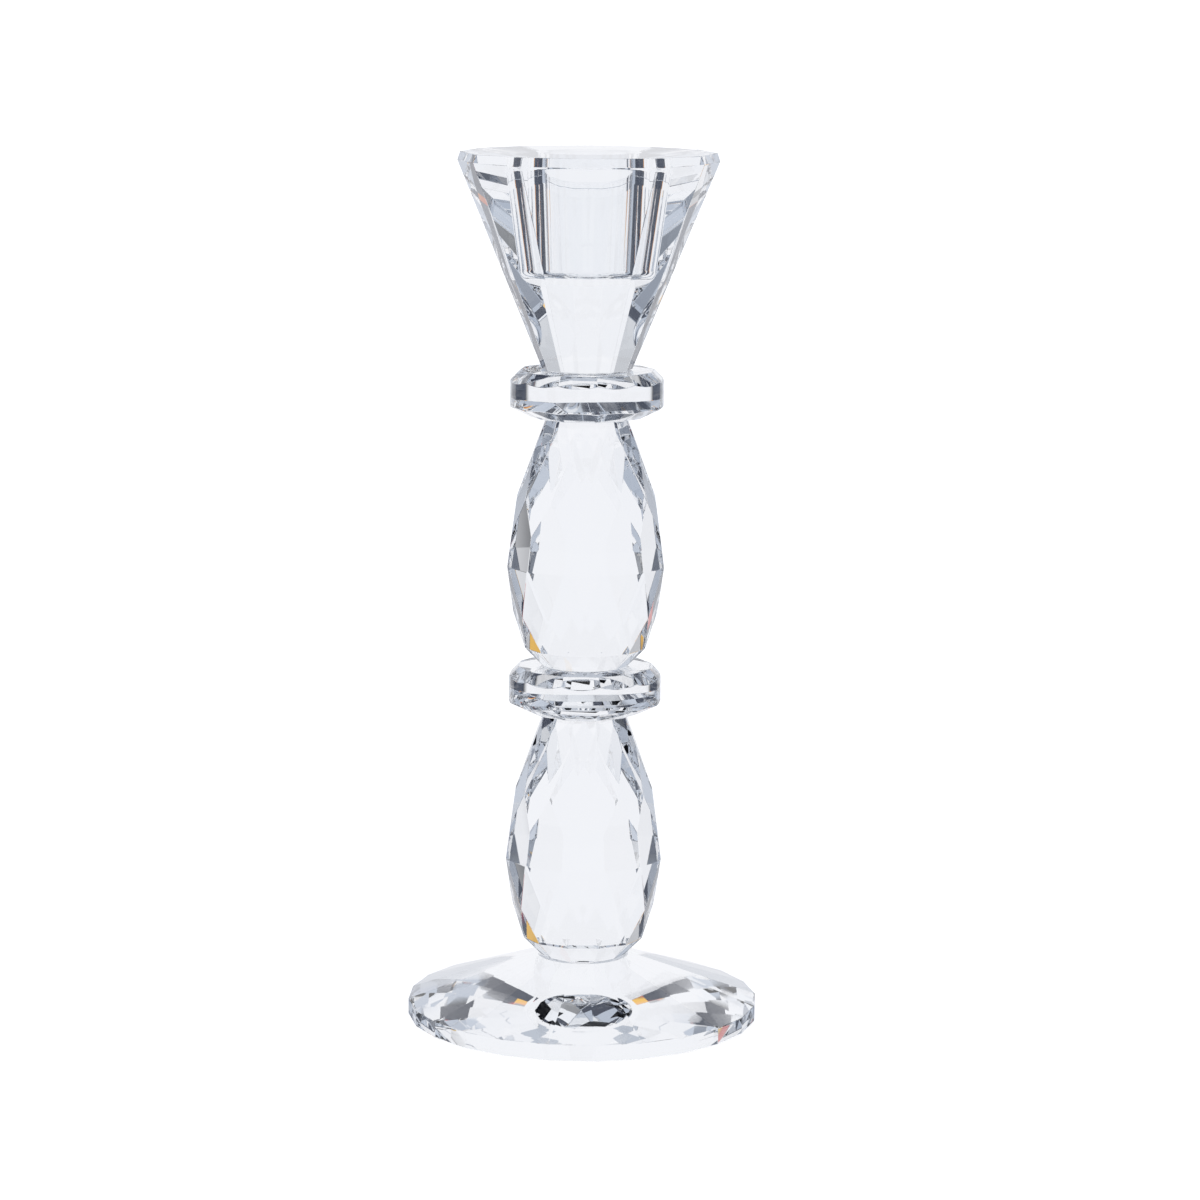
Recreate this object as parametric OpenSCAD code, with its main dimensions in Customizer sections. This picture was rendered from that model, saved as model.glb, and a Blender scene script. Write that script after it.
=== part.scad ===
// Glass candlestick: six cut-crystal pieces stacked on one upright axis and
// bonded end to end with thin films of clear glue. The base stands on the
// plane z = 0, the axis is Z, and the candle socket opens upward.
// Every cut row is a cone with flat sides, so a piece is the common part of
// its rows. Widths of cut rows are measured across the flats.

/* [Overall] */
// Width of the base across the flats of its rim
base_w = 79.4; // [66:0.2:96]
// Height of each bead; the stand grows by twice the change
bead_h = 56.5; // [46:0.5:70]
// Flat cuts round each row
cuts = 12; // [6:1:12]

/* [Base] */
// Height of the base from the table to its flat pad
base_h = 14; // [9:0.5:20]
// Height of the upright rim of the base
base_rim_h = 3.6; // [2:0.1:6]
// Flat shelf left on the pad round the foot of the lower bead
pad_margin = 1; // [0.5:0.1:4]
// Turn of the base about the axis
base_turn = 12; // [0:1:15]

/* [Beads] */
// Widest part of a bead
bead_w = 35.4; // [29:0.2:44]
// Flat lower end of a bead
bead_foot_w = 18.9; // [15:0.1:23]
// Flat upper end of a bead
bead_neck_w = 18.1; // [14:0.1:22]
// Height of the lowest row of cuts
heel_h = 4.2; // [2:0.1:6]
// Height of the hip, where the cuts steepen below the belly
hip_h = 12; // [9:0.5:15]
// Height of the belly, the widest part
belly_h = 23; // [18:0.5:27]
// Length of the neck row, from the shoulder up to the flat upper end
neck_l = 17.8; // [14:0.2:22]
// How much narrower a bead is at the top of its lowest row
heel_in = 8.4; // [6.6:0.1:10]
// How much narrower a bead is at the hip
hip_in = 2.7; // [2:0.1:3.5]
// How much narrower a bead is at the shoulder
shoulder_in = 4.2; // [2.5:0.1:5]
// Lean of the upper kite cuts: 0 follows the belly, 1 follows the neck
upper_kite = 0.62; // [0.4:0.02:0.8]
// Lean of the lower kite cuts: 0 follows the belly, 1 follows the heel
lower_kite = 0.4; // [0.3:0.02:0.7]
// Turn of both beads about the axis
bead_turn = 15; // [0:1:30]

/* [Collars] */
// Round girdle of a collar
collar_w = 34.5; // [28.5:0.5:44]
// Thickness of a collar
collar_h = 10.5; // [8:0.5:14]
// How much narrower the flat top of a collar is than its girdle
collar_top_in = 5; // [2:0.1:6]
// How much narrower the flat underside of a collar is than its girdle
collar_foot_in = 9.7; // [6:0.1:10]
// Height of the upper bevel cuts
collar_top_bevel = 2.6; // [1.5:0.1:3.5]
// Height of the lower bevel cuts
collar_foot_bevel = 2.5; // [1.5:0.1:3.5]
// Turn of the middle collar about the axis
middle_turn = 12; // [0:1:30]
// Turn of the upper collar about the axis
upper_turn = 8; // [0:1:30]

/* [Candle cup] */
// Widest part of the cup, just below the rim bevel
cup_w = 56.4; // [46:0.2:68]
// Height of the cup
cup_h = 48.3; // [38:0.1:58]
// Flat foot of the cup
cup_foot_w = 19.5; // [16:0.5:24]
// Height of the bevel under the rim
rim_bevel_h = 1.9; // [1:0.1:3]
// Width taken off each side by the rim bevel
rim_bevel_in = 0.6; // [0.3:0.1:1.2]
// Turn of the cup about the axis
cup_turn = 0; // [0:1:30]

/* [Candle socket] */
// Foot diameter of the candle the socket takes
candle_d = 22; // [18:0.5:27]
// Play between candle and socket, on the diameter
candle_play = 0.4; // [0.2:0.1:1]
// Depth of the socket
socket_depth = 26; // [18:0.5:32]
// Round between the wall and the floor of the socket
socket_round = 2; // [0.5:0.5:4]
// Bevel at the mouth of the socket
mouth_bevel = 0.5; // [0.2:0.1:1]

/* [Glue] */
// Thickness of each film of clear glue
glue_t = 0.15; // [0.1:0.05:0.3]
// How far the glue stops short of the smaller face
glue_margin = 0.4; // [0.2:0.1:1]

/* [Hidden] */
// levels of the stack, each piece on the film below it
lower_bead_z = base_h + glue_t;
middle_collar_z = lower_bead_z + bead_h + glue_t;
upper_bead_z = middle_collar_z + collar_h + glue_t;
upper_collar_z = upper_bead_z + bead_h + glue_t;
cup_z = upper_collar_z + collar_h + glue_t;

// bead outline as height and half width, from the foot to the neck
foot_p = [0, bead_foot_w / 2];
heel_p = [heel_h, (bead_w - heel_in) / 2];
hip_p = [hip_h, (bead_w - hip_in) / 2];
belly_p = [belly_h, bead_w / 2];
shoulder_p = [bead_h - neck_l, (bead_w - shoulder_in) / 2];
neck_p = [bead_h, bead_neck_w / 2];

half_step = 180 / cuts;
socket_d = candle_d + candle_play;
crystal = [0.86, 0.91, 0.94, 0.6];
glue = [0.9, 0.9, 0.85, 0.6];

// sides of round shapes; the rows of flat cuts set their own
$fn = 96;

// half widths gained for each step up between two points of an outline
function lean(p, q) = (q[1] - p[1]) / (q[0] - p[0]);

// one row of flat cuts round the axis: it passes through point p and widens by
// slope for each step up, over the height h of the piece
module row(p, slope, h, turn) {
    low = p[1] - slope * p[0];
    high = low + slope * h;
    rotate([0, 0, turn])
        cylinder(h = h, r1 = low / cos(half_step), r2 = high / cos(half_step), $fn = cuts);
}

// a row of kites, turned by half a step; its side tips meet in the middle of the
// flats, at the level p where two rows meet
module kite_row(p, slope, h, turn) {
    row([p[0], p[1] * cos(half_step)], slope, h, turn + half_step);
}

// upright rim and sloping top, each cut as two rows half a step apart
module base() {
    rim_p = [base_rim_h, base_w / 2];
    pad_p = [base_h, bead_foot_w / 2 + pad_margin];
    color(crystal)
        intersection() {
            row(rim_p, 0, base_h, base_turn);
            row(rim_p, 0, base_h, base_turn + half_step);
            row(rim_p, lean(rim_p, pad_p), base_h, base_turn);
            row(rim_p, lean(rim_p, pad_p), base_h, base_turn + half_step);
        }
}

// five rows in line and two rows of kites between them
module bead() {
    neck_lean = lean(shoulder_p, neck_p);
    belly_lean = lean(belly_p, shoulder_p);
    hip_lean = lean(hip_p, belly_p);
    heel_lean = lean(heel_p, hip_p);
    intersection() {
        row(foot_p, lean(foot_p, heel_p), bead_h, bead_turn);
        row(heel_p, heel_lean, bead_h, bead_turn);
        row(hip_p, hip_lean, bead_h, bead_turn);
        row(belly_p, belly_lean, bead_h, bead_turn);
        row(shoulder_p, neck_lean, bead_h, bead_turn);
        kite_row(hip_p, hip_lean + lower_kite * (heel_lean - hip_lean), bead_h, bead_turn);
        kite_row(shoulder_p, belly_lean + upper_kite * (neck_lean - belly_lean),
                 bead_h, bead_turn);
    }
}

// round girdle with a bevel row above and below
module collar(turn) {
    top_p = [collar_h, (collar_w - collar_top_in) / 2];
    girdle_top_p = [collar_h - collar_top_bevel, collar_w / 2];
    girdle_foot_p = [collar_foot_bevel, collar_w / 2];
    flat_p = [0, (collar_w - collar_foot_in) / 2];
    intersection() {
        cylinder(h = collar_h, d = collar_w);
        row(top_p, lean(girdle_top_p, top_p), collar_h, turn);
        row(flat_p, lean(flat_p, girdle_foot_p), collar_h, turn);
    }
}

module lower_bead() {
    color(crystal) translate([0, 0, lower_bead_z]) bead();
}

module middle_collar() {
    color(crystal) translate([0, 0, middle_collar_z]) collar(middle_turn);
}

module upper_bead() {
    color(crystal) translate([0, 0, upper_bead_z]) bead();
}

module upper_collar() {
    color(crystal) translate([0, 0, upper_collar_z]) collar(upper_turn);
}

// the socket: straight wall, rounded corner, flat floor, bevelled mouth
module socket() {
    floor_z = cup_h - socket_depth;
    translate([0, 0, floor_z])
        cylinder(h = socket_depth, d = socket_d - 2 * socket_round);
    translate([0, 0, floor_z + socket_round])
        cylinder(h = socket_depth, d = socket_d);
    translate([0, 0, floor_z + socket_round])
        rotate_extrude()
            translate([socket_d / 2 - socket_round, 0])
                circle(r = socket_round);
    translate([0, 0, cup_h - mouth_bevel])
        cylinder(h = 2 * mouth_bevel, d1 = socket_d, d2 = socket_d + 4 * mouth_bevel);
}

module candle_cup() {
    flat_p = [0, cup_foot_w / 2];
    wide_p = [cup_h - rim_bevel_h, cup_w / 2];
    rim_p = [cup_h, cup_w / 2 - rim_bevel_in];
    color(crystal)
        translate([0, 0, cup_z])
            difference() {
                intersection() {
                    row(flat_p, lean(flat_p, wide_p), cup_h, cup_turn);
                    row(rim_p, lean(wide_p, rim_p), cup_h, cup_turn);
                }
                socket();
            }
}

// a film of glue under the piece that stands at height z
module film(z, w) {
    color(glue)
        translate([0, 0, z - glue_t])
            cylinder(h = glue_t, d = w - 2 * glue_margin);
}

module base_glue() film(lower_bead_z, bead_foot_w);
module lower_neck_glue() film(middle_collar_z, bead_neck_w);
module middle_top_glue() film(upper_bead_z, bead_foot_w);
module upper_neck_glue() film(upper_collar_z, bead_neck_w);
module cup_glue() film(cup_z, cup_foot_w);

base();
lower_bead();
middle_collar();
upper_bead();
upper_collar();
candle_cup();
base_glue();
lower_neck_glue();
middle_top_glue();
upper_neck_glue();
cup_glue();
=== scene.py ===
"""The looks of a cut-crystal candlestick: six faceted pieces stacked and bonded with clear glue,
standing in a plain bright studio.

Each piece is the common part of a few rows of flat cuts. A row is a cone with flat sides that
passes through two points of the piece's outline, and Geometry Nodes make and combine the rows.
"""
import math

import bmesh
import bpy
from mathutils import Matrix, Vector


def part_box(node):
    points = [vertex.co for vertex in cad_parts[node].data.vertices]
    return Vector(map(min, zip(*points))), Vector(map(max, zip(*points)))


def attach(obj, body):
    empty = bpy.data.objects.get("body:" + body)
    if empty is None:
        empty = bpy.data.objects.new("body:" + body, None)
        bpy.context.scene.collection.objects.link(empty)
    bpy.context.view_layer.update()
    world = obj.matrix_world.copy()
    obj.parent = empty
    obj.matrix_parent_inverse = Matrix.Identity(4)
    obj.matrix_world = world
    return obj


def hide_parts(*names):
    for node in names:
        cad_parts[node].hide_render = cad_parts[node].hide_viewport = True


bl_info = {
    "name": "Cut Crystal Candlestick",
    "version": (1, 0, 0),
    "blender": (4, 5, 0),
    "location": "3D View > Sidebar > Candlestick",
    "description": "Faceted crystal pieces, glue films and a bright studio stage",
    "category": "Add Mesh",
}

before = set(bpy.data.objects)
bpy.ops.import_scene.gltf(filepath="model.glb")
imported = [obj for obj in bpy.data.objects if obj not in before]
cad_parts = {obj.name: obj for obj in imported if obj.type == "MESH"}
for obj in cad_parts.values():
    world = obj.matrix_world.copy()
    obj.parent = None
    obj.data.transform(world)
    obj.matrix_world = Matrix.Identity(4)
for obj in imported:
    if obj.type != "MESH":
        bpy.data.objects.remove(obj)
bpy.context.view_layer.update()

MM = 0.001
BODY = "root"
# From the foot up: crystal pieces with the films of glue between them
STACK = [
    "base", "base_glue", "lower_bead", "lower_neck_glue", "middle_collar", "middle_top_glue",
    "upper_bead", "upper_neck_glue", "upper_collar", "cup_glue", "candle_cup",
]

# Flat cuts round each row
CUTS = 12
# Sides of round walls, steps of the round in the socket and of the hollow edge of a film
ROUND_SIDES = 192
CORNER_STEPS = 12
FILM_STEPS = 6
# How far a film's edge is drawn in, as a share of its thickness
FILM_HOLLOW = 0.25
# A face whose normal is this near to upright is level
LEVEL_NORMAL = 0.99
# Corners this close are joined, and corners this near a level lie on it
JOIN_GAP = 2e-6
COPLANAR = 1e-6
# An edge is bevelled above the first angle and shaded smooth below the second
BEVEL_ANGLE = math.radians(4)
SMOOTH_ANGLE = BEVEL_ANGLE / 2
# Part of the noise that shows as polish marks
HAZE_START = 0.45
HAZE_FULL = 0.85

# The floor is a wide disc just under the foot, so that the two share no plane
FLOOR_GAP = 0.2 * MM
FLOOR_REACH = 40.0
FLOOR_SIDES = 96
# Light passes many facets before it leaves the crystal
GLASS_BOUNCES = 48
GLOSS_BOUNCES = 24
SOFT_EDGE = math.radians(3)

# Lights round the candlestick: (towards, half its width, its top, colour). Angles are in
# degrees; 0 is straight behind the candlestick, 90 is to its right and 180 is in front.
ROOM_LIGHTS = [
    # the bright board behind, and its dimmer upper part
    (-1.5, 43.5, 40, (0.925, 0.932, 0.962)),
    (-1.5, 43.5, 72, (0.51, 0.55, 0.62)),
    # softer boards to the left, to the right and in front
    (-99, 21, 45, (0.88, 0.90, 0.945)),
    (99, 22, 32, (0.47, 0.52, 0.61)),
    (180, 48, 45, (0.57, 0.62, 0.71)),
    # amber and red fringes at both edges of the bright board
    (43.6, 1.1, 34, (0.95, 0.56, 0.10)),
    (45.2, 0.8, 34, (0.55, 0.10, 0.06)),
    (-46.6, 1.1, 34, (0.95, 0.56, 0.10)),
    (-48.2, 0.8, 34, (0.55, 0.10, 0.06)),
]
# The light overhead, and how steeply up it starts and is full, as the sine of the angle
OVERHEAD = (0.78, 0.80, 0.84)
OVERHEAD_START = 0.89
OVERHEAD_FULL = 0.96
# The same as the room's lights, painted as a glow on the floor where the glass sees it
PAINTED_FLOOR_LIGHTS = [
    (-3.5, 42.5, 80, (0.93, 0.935, 0.965)),
    (-97, 21, 80, (0.50, 0.55, 0.64)),
    (97, 22, 80, (0.42, 0.47, 0.56)),
    (180, 48, 80, (0.46, 0.51, 0.60)),
]
# Painted pool of light on the floor near the foot, as the glass sees it, by its distance in
# metres
PAINTED_FLOOR_SPILL = {
    0.04: (0.53, 0.56, 0.62),
    0.05: (0.28, 0.31, 0.37),
    0.17: (0.28, 0.31, 0.37),
    0.26: (0.0, 0.0, 0.0),
}


# ---------------------------------------------------------------- sizes taken from the frame


def reach(node):
    """Distance from the upright axis to the farthest corner of a CAD node."""
    return max(math.hypot(v.co.x, v.co.y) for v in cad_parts[node].data.vertices)


def half_flats(node, sides):
    """Half the width across the flats of a CAD node whose widest row has that many sides."""
    return reach(node) * math.cos(math.pi / sides)


def height(node):
    """Height of a CAD node."""
    low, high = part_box(node)
    return high.z - low.z


def length(name, description, default):
    """A size in metres that a user can set."""
    return bpy.props.FloatProperty(
        name=name, description=description, default=default, min=0.0, precision=5,
        unit="LENGTH", subtype="DISTANCE",
    )


def share(name, description, default):
    """A plain number from 0 to 1."""
    return bpy.props.FloatProperty(
        name=name, description=description, default=default, min=0.0, max=1.0,
        subtype="FACTOR",
    )


def turn(name, description, degrees):
    """An angle that a user can set, given here in degrees."""
    return bpy.props.FloatProperty(
        name=name, description=description, default=math.radians(degrees), subtype="ANGLE",
    )


def colour(name, description, default):
    """A colour that a user can set."""
    return bpy.props.FloatVectorProperty(
        name=name, description=description, default=default, min=0.0, max=1.0, size=3,
        subtype="COLOR",
    )


class BaseSizes(bpy.types.PropertyGroup):
    """Sizes of the broad foot."""

    rim_reach: length("Rim", "Half the width across the flats of the rim",
                      half_flats("base", 2 * CUTS))
    rim_height: length("Rim height", "Height of the upright rim", 3.6 * MM)
    pad_reach: length("Pad", "Half the width of the flat pad on top", 10.45 * MM)
    turn: turn("Turn", "Turn of the base about its axis", 12)


class BeadSizes(bpy.types.PropertyGroup):
    """Sizes of one bead; both beads are alike."""

    belly_reach: length("Belly", "Half the width of the widest row",
                        half_flats("lower_bead", CUTS))
    foot_reach: length("Foot", "Half the width of the flat lower end", 9.45 * MM)
    neck_reach: length("Neck", "Half the width of the flat upper end", 9.05 * MM)
    heel_height: length("Heel height", "Top of the lowest row", 4.2 * MM)
    hip_height: length("Hip height", "Where the cuts steepen below the belly", 12 * MM)
    belly_height: length("Belly height", "Height of the widest part", 23 * MM)
    neck_length: length("Neck length", "Length of the uppermost row", 17.8 * MM)
    heel_in: length("Heel drawn in", "How far the heel lies inside the belly", 4.2 * MM)
    hip_in: length("Hip drawn in", "How far the hip lies inside the belly", 1.35 * MM)
    shoulder_in: length("Shoulder drawn in", "How far the shoulder lies inside the belly",
                        2.1 * MM)
    upper_kite: share("Upper kites", "Lean of the upper kites, from the belly's to the neck's",
                      0.62)
    lower_kite: share("Lower kites", "Lean of the lower kites, from the belly's to the heel's",
                      0.4)
    turn: turn("Turn", "Turn of both beads about their axis", 15)


class CollarSizes(bpy.types.PropertyGroup):
    """Sizes of one collar; both collars are alike."""

    girdle_reach: length("Girdle", "Radius of the round girdle", reach("middle_collar"))
    top_in: length("Top drawn in", "How far the flat top lies inside the girdle", 2.5 * MM)
    foot_in: length("Foot drawn in", "How far the underside lies inside the girdle",
                    4.85 * MM)
    top_bevel: length("Upper bevel", "Height of the upper bevel row", 2.6 * MM)
    foot_bevel: length("Lower bevel", "Height of the lower bevel row", 2.5 * MM)
    middle_turn: turn("Middle turn", "Turn of the middle collar", 12)
    upper_turn: turn("Upper turn", "Turn of the upper collar", 8)


class CupSizes(bpy.types.PropertyGroup):
    """Sizes of the cup and its candle socket."""

    wide_reach: length("Width", "Half the greatest width across the flats",
                       half_flats("candle_cup", CUTS))
    foot_reach: length("Foot", "Half the width of the flat foot", 9.75 * MM)
    rim_bevel: length("Rim bevel", "Height of the bevel under the rim", 1.9 * MM)
    rim_in: length("Rim drawn in", "How far the rim lies inside the widest part", 0.6 * MM)
    socket_reach: length("Socket", "Radius of the candle socket", 11.2 * MM)
    socket_depth: length("Socket depth", "Depth of the candle socket", 26 * MM)
    socket_round: length("Socket round", "Round between the socket's wall and floor", 2 * MM)
    mouth_bevel: length("Mouth bevel", "Height of the bevel at the socket's mouth", 0.5 * MM)
    turn: turn("Turn", "Turn of the cup about its axis", 0)


class CrystalFinish(bpy.types.PropertyGroup):
    """How the glass is finished."""

    tint: colour("Tint", "Colour that the glass keeps of what passes each surface",
                 (0.985, 0.992, 0.998))
    glue_tint: colour("Glue tint", "Colour of the clear glue", (0.99, 0.99, 0.98))
    edge_round: length("Edge round", "Width of the polish along every cut edge", 0.09 * MM)
    haze: share("Haze", "Roughness where the polish marks are strongest", 0.02)
    haze_scale: bpy.props.FloatProperty(name="Haze scale",
                                        description="How fine the polish marks are",
                                        default=260.0, min=1.0)
    bend: bpy.props.FloatProperty(name="Index of refraction",
                                  description="How much the crystal bends light",
                                  default=1.52, min=1.0, max=2.5)
    cuts: bpy.props.IntProperty(name="Cuts", description="Flat cuts round each row",
                                default=CUTS, min=6, max=24)


class StudioLook(bpy.types.PropertyGroup):
    """The floor, the light and the camera."""

    dark: colour("Dark", "Colour of the unlit parts of the room", (0.052, 0.060, 0.085))
    # Painted shade: the floor's glow far to the sides, as the glass sees it
    floor_painted_shade: colour("Dark floor", "Floor far to the sides, as the glass sees it",
                       (0.062, 0.072, 0.10))
    floor_paint: colour("Floor", "Colour of the plain floor", (0.93, 0.93, 0.93))
    floor_glow: share("Floor glow", "Light that comes up through the floor", 0.76)
    camera_distance: length("Camera distance", "From the axis to the camera", 838.7 * MM)
    camera_height: length("Camera height", "Height of the camera over the floor",
                          241.7 * MM)
    camera_pitch: turn("Camera pitch", "How far the camera looks down", 9.842)
    camera_roll: turn("Camera roll", "How far the camera leans to the left", 0.45)
    camera_angle: turn("Camera angle", "Width of the camera's view", 18.13)
    camera_shift: bpy.props.FloatProperty(name="Camera shift",
                                          description="Sideways shift of the view",
                                          default=0.0122)


class Candlestick(bpy.types.PropertyGroup):
    """Everything that can be set on the candlestick."""

    base: bpy.props.PointerProperty(type=BaseSizes)
    bead: bpy.props.PointerProperty(type=BeadSizes)
    collar: bpy.props.PointerProperty(type=CollarSizes)
    cup: bpy.props.PointerProperty(type=CupSizes)
    crystal: bpy.props.PointerProperty(type=CrystalFinish)
    studio: bpy.props.PointerProperty(type=StudioLook)


# ---------------------------------------------------------------- node trees


def feed(tree, value, socket):
    """Links an output to a socket, or gives the socket a plain value."""
    if isinstance(value, bpy.types.NodeSocket):
        tree.links.new(value, socket)
    else:
        socket.default_value = value


def add(tree, kind, inputs, **options):
    """Adds a node with its options set and its inputs fed, and returns it."""
    made = tree.nodes.new(kind)
    for option, value in options.items():
        setattr(made, option, value)
    for socket, value in inputs.items():
        feed(tree, value, made.inputs[socket])
    return made


def maths(tree, operation, first, second=0.0):
    """The output of a Math node."""
    return add(tree, "ShaderNodeMath", {0: first, 1: second}, operation=operation).outputs[0]


def ramp(tree, factor, stops):
    """Colour output of a ramp with these {place: colour} stops."""
    node = add(tree, "ShaderNodeValToRGB", {0: factor})
    node.color_ramp.interpolation = "EASE"
    points = node.color_ramp.elements
    while len(points) < len(stops):
        points.new(0.5)
    for point, (place, shown) in zip(points, stops.items()):
        point.position = place
        point.color = (*shown, 1.0)
    return node.outputs["Color"]


def lighter(tree, first, second):
    """The lighter of two colours."""
    node = add(tree, "ShaderNodeMix", {0: 1.0, 6: first, 7: second},
               data_type="RGBA", blend_type="LIGHTEN")
    return node.outputs[2]


def fade(tree, value, low, high):
    """0 below the low value, 1 above the high one, and a smooth change between them."""
    node = add(tree, "ShaderNodeMapRange", {"Value": value, "From Min": low, "From Max": high},
               interpolation_type="SMOOTHSTEP")
    return node.outputs["Result"]


def lights_round(tree, vector, under, lights):
    """Colour seen along a vector: the lights that stand round the axis over a dark colour."""
    level = add(tree, "ShaderNodeVectorMath", {0: vector, 1: (1.0, 1.0, 0.0)},
                operation="MULTIPLY").outputs["Vector"]
    level = add(tree, "ShaderNodeVectorMath", {0: level}, operation="NORMALIZE").outputs["Vector"]
    steep = add(tree, "ShaderNodeSeparateXYZ", {0: vector}).outputs["Z"]
    shown = under
    for towards, half, top, glow in lights:
        towards, half, top = (math.radians(angle) for angle in (towards, half, top))
        ahead = add(tree, "ShaderNodeVectorMath", {
            0: level, 1: (math.sin(towards), math.cos(towards), 0.0),
        }, operation="DOT_PRODUCT").outputs["Value"]
        soft = min(SOFT_EDGE, half / 2)
        across = fade(tree, ahead, math.cos(half + soft), math.cos(half - soft))
        up = fade(tree, steep, math.sin(top + SOFT_EDGE), math.sin(top - SOFT_EDGE))
        lit = add(tree, "ShaderNodeMix", {
            0: maths(tree, "MULTIPLY", across, up), 6: (0.0, 0.0, 0.0, 1.0), 7: (*glow, 1.0),
        }, data_type="RGBA")
        shown = lighter(tree, shown, lit.outputs[2])
    return shown


def new_tree(name, inputs):
    """A Geometry Nodes tree with these named inputs: (tree, its inputs, its output node)."""
    tree = bpy.data.node_groups.new(name, "GeometryNodeTree")
    for label, kind in inputs.items():
        tree.interface.new_socket(label, in_out="INPUT", socket_type="NodeSocket" + kind)
    tree.interface.new_socket("Geometry", in_out="OUTPUT", socket_type="NodeSocketGeometry")
    return tree, tree.nodes.new("NodeGroupInput").outputs, tree.nodes.new("NodeGroupOutput")


def lean(tree, low, high):
    """Half width gained for each step up between two (height, half width) points."""
    gain = maths(tree, "SUBTRACT", high[1], low[1])
    rise = maths(tree, "SUBTRACT", high[0], low[0])
    return maths(tree, "DIVIDE", gain, rise)


def cut_row_group():
    """Node group for one row of flat cuts: a cone with flat sides through two points."""
    tree, given, out = new_tree("Cut Row", {
        "Sides": "Int", "Turn": "Float", "Piece Height": "Float",
        "Low Height": "Float", "Low Half Width": "Float",
        "High Height": "Float", "High Half Width": "Float",
    })
    low = (given["Low Height"], given["Low Half Width"])
    high = (given["High Height"], given["High Half Width"])
    slope = lean(tree, low, high)
    at_foot = maths(tree, "SUBTRACT", low[1], maths(tree, "MULTIPLY", slope, low[0]))
    rise = maths(tree, "MULTIPLY", slope, given["Piece Height"])
    at_top = maths(tree, "ADD", at_foot, rise)
    corner = maths(tree, "COSINE", maths(tree, "DIVIDE", math.pi, given["Sides"]))
    cone = add(tree, "GeometryNodeMeshCone", {
        "Vertices": given["Sides"], "Depth": given["Piece Height"],
        "Radius Bottom": maths(tree, "DIVIDE", at_foot, corner),
        "Radius Top": maths(tree, "DIVIDE", at_top, corner),
    })
    about_axis = add(tree, "ShaderNodeCombineXYZ", {"Z": given["Turn"]})
    turned = add(tree, "GeometryNodeTransform", {
        "Geometry": cone.outputs["Mesh"], "Rotation": about_axis.outputs[0],
    })
    tree.links.new(turned.outputs[0], out.inputs[0])
    return tree


def kite_row_group(cut_row):
    """Node group for a row of kites, half a step round from the row they cut into.

    Their side tips meet at the corner point. Their lean lies between the lean towards the
    near point and the lean from the far point.
    """
    tree, given, out = new_tree("Kite Row", {
        "Sides": "Int", "Turn": "Float", "Piece Height": "Float", "Share": "Float",
        "Near Height": "Float", "Near Half Width": "Float",
        "Corner Height": "Float", "Corner Half Width": "Float",
        "Far Height": "Float", "Far Half Width": "Float",
    })
    near, corner, far = (
        (given[point + " Height"], given[point + " Half Width"])
        for point in ("Near", "Corner", "Far")
    )
    near_lean = lean(tree, near, corner)
    far_lean = lean(tree, far, corner)
    change = maths(tree, "SUBTRACT", far_lean, near_lean)
    slope = maths(tree, "ADD", near_lean, maths(tree, "MULTIPLY", change, given["Share"]))
    half_step = maths(tree, "DIVIDE", math.pi, given["Sides"])
    half_width = maths(tree, "MULTIPLY", corner[1], maths(tree, "COSINE", half_step))
    row = add(tree, "GeometryNodeGroup", {
        "Sides": given["Sides"], "Piece Height": given["Piece Height"],
        "Turn": maths(tree, "ADD", given["Turn"], half_step),
        "Low Height": corner[0], "Low Half Width": half_width,
        "High Height": maths(tree, "ADD", corner[0], 1.0),
        "High Half Width": maths(tree, "ADD", half_width, slope),
    }, node_tree=cut_row)
    tree.links.new(row.outputs[0], out.inputs[0])
    return tree


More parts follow.
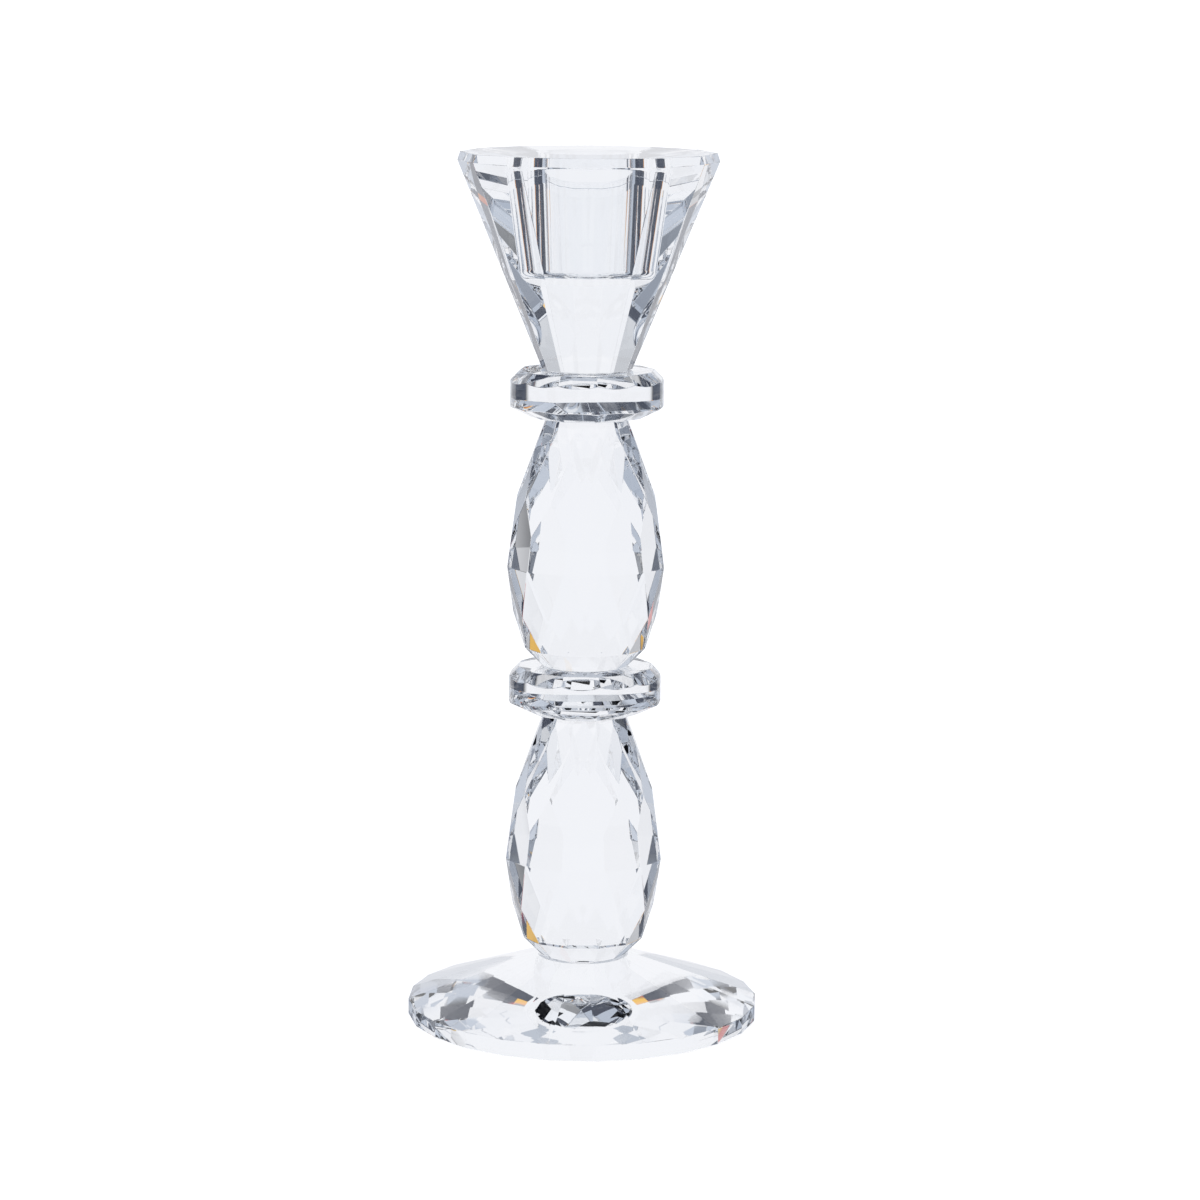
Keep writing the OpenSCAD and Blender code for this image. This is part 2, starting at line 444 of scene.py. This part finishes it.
def crystal_tree(name, points, rows, groups, hollow=False):
    """Geometry Nodes tree of one cut piece: the common part of its rows, at its level.

    points names the outline's points, each with a height and a half width input. A row is
    ("row" | "half" | "round", low point, high point), where "half" is turned by half a step
    and "round" is a smooth girdle, or ("kite", near, corner, far, share input).
    """
    inputs = {"Cuts": "Int", "Turn": "Float", "Piece Height": "Float", "Level": "Float"}
    for point in points:
        inputs[point + " Height"] = inputs[point + " Half Width"] = "Float"
    inputs.update({row[4]: "Float" for row in rows if row[0] == "kite"})
    if hollow:
        inputs["Socket Core"] = "Object"
    inputs["Glass"] = "Material"
    tree, given, out = new_tree(name, inputs)

    def at(label, point):
        """The inputs of a row's point, fed from the piece's inputs of that point."""
        return {
            label + " Height": given[point + " Height"],
            label + " Half Width": given[point + " Half Width"],
        }

    whole = add(tree, "GeometryNodeMeshBoolean", {}, operation="INTERSECT", solver="EXACT")
    half_step = maths(tree, "DIVIDE", math.pi, given["Cuts"])
    half_turn = maths(tree, "ADD", given["Turn"], half_step)
    for kind, *of_row in rows:
        fed = {"Piece Height": given["Piece Height"]}
        fed["Sides"] = ROUND_SIDES if kind == "round" else given["Cuts"]
        fed["Turn"] = half_turn if kind == "half" else given["Turn"]
        if kind == "kite":
            fed |= at("Near", of_row[0]) | at("Corner", of_row[1]) | at("Far", of_row[2])
            fed["Share"] = given[of_row[3]]
        else:
            fed |= at("Low", of_row[0]) | at("High", of_row[1])
        group = groups["kite" if kind == "kite" else "row"]
        row = add(tree, "GeometryNodeGroup", fed, node_tree=group)
        tree.links.new(row.outputs[0], whole.inputs[1])
    shape = whole.outputs[0]
    if hollow:
        core = add(tree, "GeometryNodeObjectInfo", {"Object": given["Socket Core"]})
        drilled = add(tree, "GeometryNodeMeshBoolean", {0: shape},
                      operation="DIFFERENCE", solver="EXACT")
        tree.links.new(core.outputs["Geometry"], drilled.inputs[1])
        shape = drilled.outputs[0]
    clean = add(tree, "GeometryNodeMergeByDistance", {"Geometry": shape, "Distance": JOIN_GAP})
    up = add(tree, "ShaderNodeCombineXYZ", {"Z": given["Level"]})
    lifted = add(tree, "GeometryNodeTransform", {
        "Geometry": clean.outputs[0], "Translation": up.outputs[0],
    })
    real = add(tree, "GeometryNodeRealizeInstances", {"Geometry": lifted.outputs[0]})
    dressed = add(tree, "GeometryNodeSetMaterial", {
        "Geometry": real.outputs[0], "Material": given["Glass"],
    })
    tree.links.new(dressed.outputs[0], out.inputs[0])
    return tree


def set_inputs(modifier, values):
    """Sets a Geometry Nodes modifier's inputs by the names of its sockets."""
    sockets = {
        item.name: item.identifier
        for item in modifier.node_group.interface.items_tree
        if item.item_type == "SOCKET" and item.in_out == "INPUT"
    }
    if set(sockets) != set(values):
        raise ValueError(f"{modifier.node_group.name}: {set(sockets) ^ set(values)} differ")
    for name, value in values.items():
        modifier[sockets[name]] = value


# ---------------------------------------------------------------- materials


def new_material(name):
    """An empty node material: (material, its tree, its output node)."""
    material = bpy.data.materials.new(name)
    material.use_nodes = True
    tree = material.node_tree
    tree.nodes.clear()
    return material, tree, tree.nodes.new("ShaderNodeOutputMaterial")


def polished_glass(name, tint, finish):
    """Clear polished glass. Fine grinding marks left by the polish vary its gloss a little."""
    material, tree, out = new_material(name)
    place = add(tree, "ShaderNodeTexCoord", {})
    haze = add(tree, "ShaderNodeTexNoise", {
        "Vector": place.outputs["Object"], "Scale": finish.haze_scale, "Detail": 3.0,
    })
    gloss = add(tree, "ShaderNodeMapRange", {
        "Value": haze.outputs["Fac"], "From Min": HAZE_START, "From Max": HAZE_FULL,
        "To Min": 0.0, "To Max": finish.haze,
    })
    glass = add(tree, "ShaderNodeBsdfPrincipled", {
        "Base Color": (*tint, 1.0), "IOR": finish.bend, "Transmission Weight": 1.0,
        "Roughness": gloss.outputs["Result"],
    })
    tree.links.new(glass.outputs[0], out.inputs["Surface"])
    return material


def bonded_face(name):
    """A face wetted by the glue, where light passes straight from one piece to the next."""
    material, tree, out = new_material(name)
    clear = add(tree, "ShaderNodeBsdfTransparent", {"Color": (1.0, 1.0, 1.0, 1.0)})
    tree.links.new(clear.outputs[0], out.inputs["Surface"])
    return material


def materials(scene):
    """The glass, glue and bonded-face materials, made once."""
    made = bpy.data.materials
    finish = scene.candlestick.crystal
    if "Polished crystal" not in made:
        polished_glass("Polished crystal", finish.tint, finish)
        polished_glass("Clear glue", finish.glue_tint, finish)
        bonded_face("Bonded face")
    return made["Polished crystal"], made["Clear glue"], made["Bonded face"]


# ---------------------------------------------------------------- meshes


def plain_mesh(piece):
    """Makes the piece's modifiers part of its mesh and removes them."""
    graph = bpy.context.evaluated_depsgraph_get()
    mesh = bpy.data.meshes.new_from_object(piece.evaluated_get(graph), depsgraph=graph)
    piece.modifiers.clear()
    piece.data = mesh


def bond(piece, level, radius, material):
    """Gives the flat end at this level a round bonded face in its middle."""
    piece.data.materials.append(material)
    shape = bmesh.new()
    shape.from_mesh(piece.data)
    flats = [
        face for face in shape.faces
        if all(abs(corner.co.z - level) < COPLANAR for corner in face.verts)
    ]
    flat = max(flats, key=lambda face: face.calc_area())
    upward = flat.normal.z > 0
    outer = list(flat.edges)
    shape.faces.remove(flat)
    steps = [math.tau * i / ROUND_SIDES for i in range(ROUND_SIDES)]
    ring = [
        shape.verts.new((radius * math.cos(a), radius * math.sin(a), level)) for a in steps
    ]
    middle = shape.faces.new(ring)
    filled = bmesh.ops.triangle_fill(
        shape, use_beauty=True, use_dissolve=False, edges=outer + list(middle.edges),
    )
    around = [item for item in filled["geom"] if isinstance(item, bmesh.types.BMFace)]
    around = [face for face in around if face is not middle]
    middle.material_index = len(piece.data.materials) - 1
    for face in [middle, *around]:
        face.normal_update()
        if (face.normal.z > 0) != upward:
            face.normal_flip()
    shape.to_mesh(piece.data)
    shape.free()


def edge_finish(piece, width):
    """Rounds every cut edge a little, as polishing does, and keeps the facets flat."""
    polish = piece.modifiers.new("Polish", "BEVEL")
    polish.width = width
    polish.segments = 2
    polish.limit_method = "ANGLE"
    polish.angle_limit = BEVEL_ANGLE
    polish.use_clamp_overlap = False


def shade(piece):
    """Smooth shading across round walls, and flat facets between sharp edges."""
    piece.data.shade_smooth()
    shape = bmesh.new()
    shape.from_mesh(piece.data)
    for edge in shape.edges:
        edge.smooth = len(edge.link_faces) == 2 and edge.calc_face_angle() < SMOOTH_ANGLE
    shape.to_mesh(piece.data)
    shape.free()


def cut_crystal(scene, name, tree, outline, extra):
    """Makes one cut piece from its tree and outline: {point: (height, half width)}."""
    settings = scene.candlestick.crystal
    crystal, _, bonded = materials(scene)
    low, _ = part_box(name)
    values = {
        "Cuts": settings.cuts, "Piece Height": height(name), "Level": low.z, "Glass": crystal,
    }
    for point, (up, out) in outline.items():
        values[point + " Height"] = up
        values[point + " Half Width"] = out
    piece = bpy.data.objects.new("crystal_" + name, bpy.data.meshes.new(name))
    scene.collection.objects.link(piece)
    cut = piece.modifiers.new("Cuts", "NODES")
    cut.node_group = tree
    set_inputs(cut, values | extra)
    edge_finish(piece, settings.edge_round)
    plain_mesh(piece)
    for film in films_on(name):
        bond(piece, *film, bonded)
    shade(piece)
    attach(piece, BODY)
    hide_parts(name)


def films_on(node):
    """(level, radius) of each bonded face on a crystal piece, from its neighbours' films."""
    place = STACK.index(node)
    found = []
    if place > 0:
        found.append((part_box(node)[0].z, reach(STACK[place - 1])))
    if place < len(STACK) - 1:
        found.append((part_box(node)[1].z, reach(STACK[place + 1])))
    return found


def row_groups():
    """The two node groups that every cut piece shares."""
    groups = bpy.data.node_groups
    if "Cut Row" not in groups:
        kite_row_group(cut_row_group())
    return {"row": groups["Cut Row"], "kite": groups["Kite Row"]}


def lathe(name, profile, sides):
    """A closed mesh turned about the upright axis from (radius, height) points, first and
    last at the middle."""
    shape = bmesh.new()
    steps = [math.tau * i / sides for i in range(sides)]
    ends = [shape.verts.new((0, 0, profile[i][1])) for i in (0, -1)]
    rings = [
        [shape.verts.new((r * math.cos(a), r * math.sin(a), z)) for a in steps]
        for r, z in profile[1:-1]
    ]
    for i in range(sides):
        j = (i + 1) % sides
        shape.faces.new((ends[0], rings[0][j], rings[0][i]))
        shape.faces.new((ends[1], rings[-1][i], rings[-1][j]))
        for lower, upper in zip(rings, rings[1:]):
            shape.faces.new((lower[i], lower[j], upper[j], upper[i]))
    mesh = bpy.data.meshes.new(name)
    shape.to_mesh(mesh)
    shape.free()
    return mesh


# ---------------------------------------------------------------- operators


class CANDLESTICK_OT_base(bpy.types.Operator):
    """Cut the broad foot"""

    bl_idname = "candlestick.base"
    bl_label = "Cut the Base"

    def execute(self, context):
        scene = context.scene
        sizes = scene.candlestick.base
        tree = crystal_tree("Base", ["Foot", "Rim", "Pad"], [
            ("row", "Foot", "Rim"), ("half", "Foot", "Rim"),
            ("row", "Rim", "Pad"), ("half", "Rim", "Pad"),
        ], row_groups())
        outline = {
            "Foot": (0.0, sizes.rim_reach),
            "Rim": (sizes.rim_height, sizes.rim_reach),
            "Pad": (height("base"), sizes.pad_reach),
        }
        cut_crystal(scene, "base", tree, outline, {"Turn": sizes.turn})
        return {"FINISHED"}


class CANDLESTICK_OT_beads(bpy.types.Operator):
    """Cut the two beads"""

    bl_idname = "candlestick.beads"
    bl_label = "Cut the Beads"

    def execute(self, context):
        scene = context.scene
        sizes = scene.candlestick.bead
        points = ["Foot", "Heel", "Hip", "Belly", "Shoulder", "Neck"]
        rows = [("row", low, high) for low, high in zip(points, points[1:])]
        rows.append(("kite", "Belly", "Hip", "Heel", "Lower Kite"))
        rows.append(("kite", "Belly", "Shoulder", "Neck", "Upper Kite"))
        tree = crystal_tree("Bead", points, rows, row_groups())
        for name in ("lower_bead", "upper_bead"):
            top = height(name)
            belly = sizes.belly_reach
            outline = {
                "Foot": (0.0, sizes.foot_reach),
                "Heel": (sizes.heel_height, belly - sizes.heel_in),
                "Hip": (sizes.hip_height, belly - sizes.hip_in),
                "Belly": (sizes.belly_height, belly),
                "Shoulder": (top - sizes.neck_length, belly - sizes.shoulder_in),
                "Neck": (top, sizes.neck_reach),
            }
            cut_crystal(scene, name, tree, outline, {
                "Turn": sizes.turn,
                "Lower Kite": sizes.lower_kite, "Upper Kite": sizes.upper_kite,
            })
        return {"FINISHED"}


class CANDLESTICK_OT_collars(bpy.types.Operator):
    """Cut the two collars"""

    bl_idname = "candlestick.collars"
    bl_label = "Cut the Collars"

    def execute(self, context):
        scene = context.scene
        sizes = scene.candlestick.collar
        points = ["Underside", "Girdle Foot", "Girdle Top", "Top"]
        tree = crystal_tree("Collar", points, [
            ("row", "Underside", "Girdle Foot"), ("round", "Girdle Foot", "Girdle Top"),
            ("row", "Girdle Top", "Top"),
        ], row_groups())
        turns = {"middle_collar": sizes.middle_turn, "upper_collar": sizes.upper_turn}
        for name, about_axis in turns.items():
            top = height(name)
            girdle = sizes.girdle_reach
            outline = {
                "Underside": (0.0, girdle - sizes.foot_in),
                "Girdle Foot": (sizes.foot_bevel, girdle),
                "Girdle Top": (top - sizes.top_bevel, girdle),
                "Top": (top, girdle - sizes.top_in),
            }
            cut_crystal(scene, name, tree, outline, {"Turn": about_axis})
        return {"FINISHED"}


class CANDLESTICK_OT_cup(bpy.types.Operator):
    """Cut the cup and drill its candle socket"""

    bl_idname = "candlestick.cup"
    bl_label = "Cut the Cup"

    def execute(self, context):
        scene = context.scene
        sizes = scene.candlestick.cup
        core = self.socket_core(scene, sizes)
        tree = crystal_tree("Cup", ["Foot", "Wide", "Rim"], [
            ("row", "Foot", "Wide"), ("row", "Wide", "Rim"),
        ], row_groups(), hollow=True)
        top = height("candle_cup")
        outline = {
            "Foot": (0.0, sizes.foot_reach),
            "Wide": (top - sizes.rim_bevel, sizes.wide_reach),
            "Rim": (top, sizes.wide_reach - sizes.rim_in),
        }
        cut_crystal(scene, "candle_cup", tree, outline,
                    {"Turn": sizes.turn, "Socket Core": core})
        bpy.data.objects.remove(core)
        return {"FINISHED"}

    def socket_core(self, scene, sizes):
        """The shape that is taken out of the cup, measured from the cup's foot."""
        rim = height("candle_cup")
        bottom = rim - sizes.socket_depth
        corner = sizes.socket_round
        wall = sizes.socket_reach
        profile = [(0.0, bottom)]
        for i in range(CORNER_STEPS + 1):
            a = math.pi / 2 * i / CORNER_STEPS
            profile.append((wall - corner + corner * math.sin(a),
                            bottom + corner - corner * math.cos(a)))
        bevel = sizes.mouth_bevel
        profile += [(wall, rim - bevel), (wall + 2 * bevel, rim + bevel), (0.0, rim + bevel)]
        core = bpy.data.objects.new("socket_core", lathe("socket_core", profile, ROUND_SIDES))
        scene.collection.objects.link(core)
        return core


class CANDLESTICK_OT_glue(bpy.types.Operator):
    """Lay the films of clear glue"""

    bl_idname = "candlestick.glue"
    bl_label = "Lay the Glue"

    def execute(self, context):
        scene = context.scene
        _, glue, bonded = materials(scene)
        for name in STACK[1::2]:
            low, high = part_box(name)
            radius = reach(name)
            thick = high.z - low.z
            profile = [(0.0, low.z)]
            for i in range(FILM_STEPS + 1):
                along = 2 * i / FILM_STEPS - 1
                drawn_in = FILM_HOLLOW * thick * (1 - along * along)
                profile.append((radius - drawn_in, low.z + thick * i / FILM_STEPS))
            profile.append((0.0, high.z))
            piece = bpy.data.objects.new("film_" + name, lathe(name, profile, ROUND_SIDES))
            scene.collection.objects.link(piece)
            piece.data.materials.append(glue)
            piece.data.materials.append(bonded)
            for face in piece.data.polygons:
                face.material_index = int(abs(face.normal.z) > LEVEL_NORMAL)
            shade(piece)
            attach(piece, BODY)
            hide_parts(name)
        return {"FINISHED"}


class CANDLESTICK_OT_stage(bpy.types.Operator):
    """Set the floor, the light and the camera"""

    bl_idname = "candlestick.stage"
    bl_label = "Set the Stage"

    def execute(self, context):
        scene = context.scene
        look = scene.candlestick.studio
        self.floor(scene, look)
        self.light(scene, look)
        self.camera(scene, look)
        scene.cycles.max_bounces = GLASS_BOUNCES
        scene.cycles.transmission_bounces = GLASS_BOUNCES
        scene.cycles.transparent_max_bounces = GLASS_BOUNCES
        scene.cycles.glossy_bounces = GLOSS_BOUNCES
        scene.view_settings.view_transform = "Standard"
        return {"FINISHED"}

    def floor(self, scene, look):
        """A plain white floor, lit from above and from below. Through the glass it glows with
        painted light instead: the room's lights drawn on it, a painted pool of light round the
        foot, and painted shade as dark as the room where no light stands behind it."""
        material, tree, out = new_material("White floor")
        lit = add(tree, "ShaderNodeBsdfDiffuse", {"Color": (*look.floor_paint, 1.0)})
        glow = add(tree, "ShaderNodeEmission", {"Strength": look.floor_glow})
        plain = add(tree, "ShaderNodeAddShader", {0: lit.outputs[0], 1: glow.outputs[0]})
        # Painted pool of light round the foot, over painted shade far to the sides
        place = add(tree, "ShaderNodeTexCoord", {}).outputs["Object"]
        away = add(tree, "ShaderNodeVectorMath", {0: place}, operation="LENGTH")
        painted_spill = ramp(tree, away.outputs["Value"], PAINTED_FLOOR_SPILL)
        dark = lighter(tree, painted_spill, (*look.floor_painted_shade, 1.0))
        # Painted light and shade: the glass sees the floor as a glow drawn from the room's
        # lights, not as lit
        through = add(tree, "ShaderNodeEmission", {
            "Color": lights_round(tree, place, dark, PAINTED_FLOOR_LIGHTS),
        })
        seen = add(tree, "ShaderNodeLightPath", {}).outputs["Is Camera Ray"]
        both = add(tree, "ShaderNodeMixShader", {
            0: seen, 1: through.outputs[0], 2: plain.outputs[0],
        })
        tree.links.new(both.outputs[0], out.inputs["Surface"])
        shape = bmesh.new()
        bmesh.ops.create_circle(shape, cap_ends=True, segments=FLOOR_SIDES,
                                radius=FLOOR_REACH)
        for corner in shape.verts:
            corner.co.z = -FLOOR_GAP
        mesh = bpy.data.meshes.new("floor")
        shape.to_mesh(mesh)
        shape.free()
        mesh.materials.append(material)
        floor = bpy.data.objects.new("floor", mesh)
        scene.collection.objects.link(floor)

    def light(self, scene, look):
        """Soft lights round a dim room and one overhead, as the glass sees them. The camera
        itself sees plain white."""
        world = bpy.data.worlds.new("Studio")
        world.use_nodes = True
        scene.world = world
        tree = world.node_tree
        background = tree.nodes["Background"]
        way = add(tree, "ShaderNodeTexCoord", {}).outputs["Generated"]
        steep = add(tree, "ShaderNodeSeparateXYZ", {0: way}).outputs["Z"]
        over = ramp(tree, steep, {OVERHEAD_START: look.dark, OVERHEAD_FULL: OVERHEAD})
        sky = lights_round(tree, way, over, ROOM_LIGHTS)
        seen = add(tree, "ShaderNodeLightPath", {}).outputs["Is Camera Ray"]
        shown = add(tree, "ShaderNodeMix", {
            0: seen, 6: sky, 7: (1.0, 1.0, 1.0, 1.0),
        }, data_type="RGBA")
        tree.links.new(shown.outputs[2], background.inputs["Color"])

    def camera(self, scene, look):
        """The camera in front, a little above and looking down at the candlestick."""
        data = bpy.data.cameras.new("Camera")
        data.angle = look.camera_angle
        data.shift_x = look.camera_shift
        camera = bpy.data.objects.new("Camera", data)
        camera.location = (0.0, -look.camera_distance, look.camera_height)
        camera.rotation_mode = "ZXY"
        camera.rotation_euler = (math.pi / 2 - look.camera_pitch, 0.0, look.camera_roll)
        scene.collection.objects.link(camera)
        scene.camera = camera


OPERATORS = [
    CANDLESTICK_OT_base, CANDLESTICK_OT_beads, CANDLESTICK_OT_collars, CANDLESTICK_OT_cup,
    CANDLESTICK_OT_glue, CANDLESTICK_OT_stage,
]


class CANDLESTICK_PT_panel(bpy.types.Panel):
    """Sidebar panel with a button for each piece"""

    bl_label = "Candlestick"
    bl_idname = "CANDLESTICK_PT_panel"
    bl_space_type = "VIEW_3D"
    bl_region_type = "UI"
    bl_category = "Candlestick"

    def draw(self, context):
        for operator in OPERATORS:
            self.layout.operator(operator.bl_idname)


CLASSES = [
    BaseSizes, BeadSizes, CollarSizes, CupSizes, CrystalFinish, StudioLook, Candlestick,
    *OPERATORS, CANDLESTICK_PT_panel,
]


def register():
    for cls in CLASSES:
        bpy.utils.register_class(cls)
    bpy.types.Scene.candlestick = bpy.props.PointerProperty(type=Candlestick)


def unregister():
    del bpy.types.Scene.candlestick
    for cls in reversed(CLASSES):
        bpy.utils.unregister_class(cls)


def main():
    """Builds every piece and the stage."""
    register()
    bpy.ops.candlestick.base()
    bpy.ops.candlestick.beads()
    bpy.ops.candlestick.collars()
    bpy.ops.candlestick.cup()
    bpy.ops.candlestick.glue()
    bpy.ops.candlestick.stage()


if __name__ == "__main__":
    main()
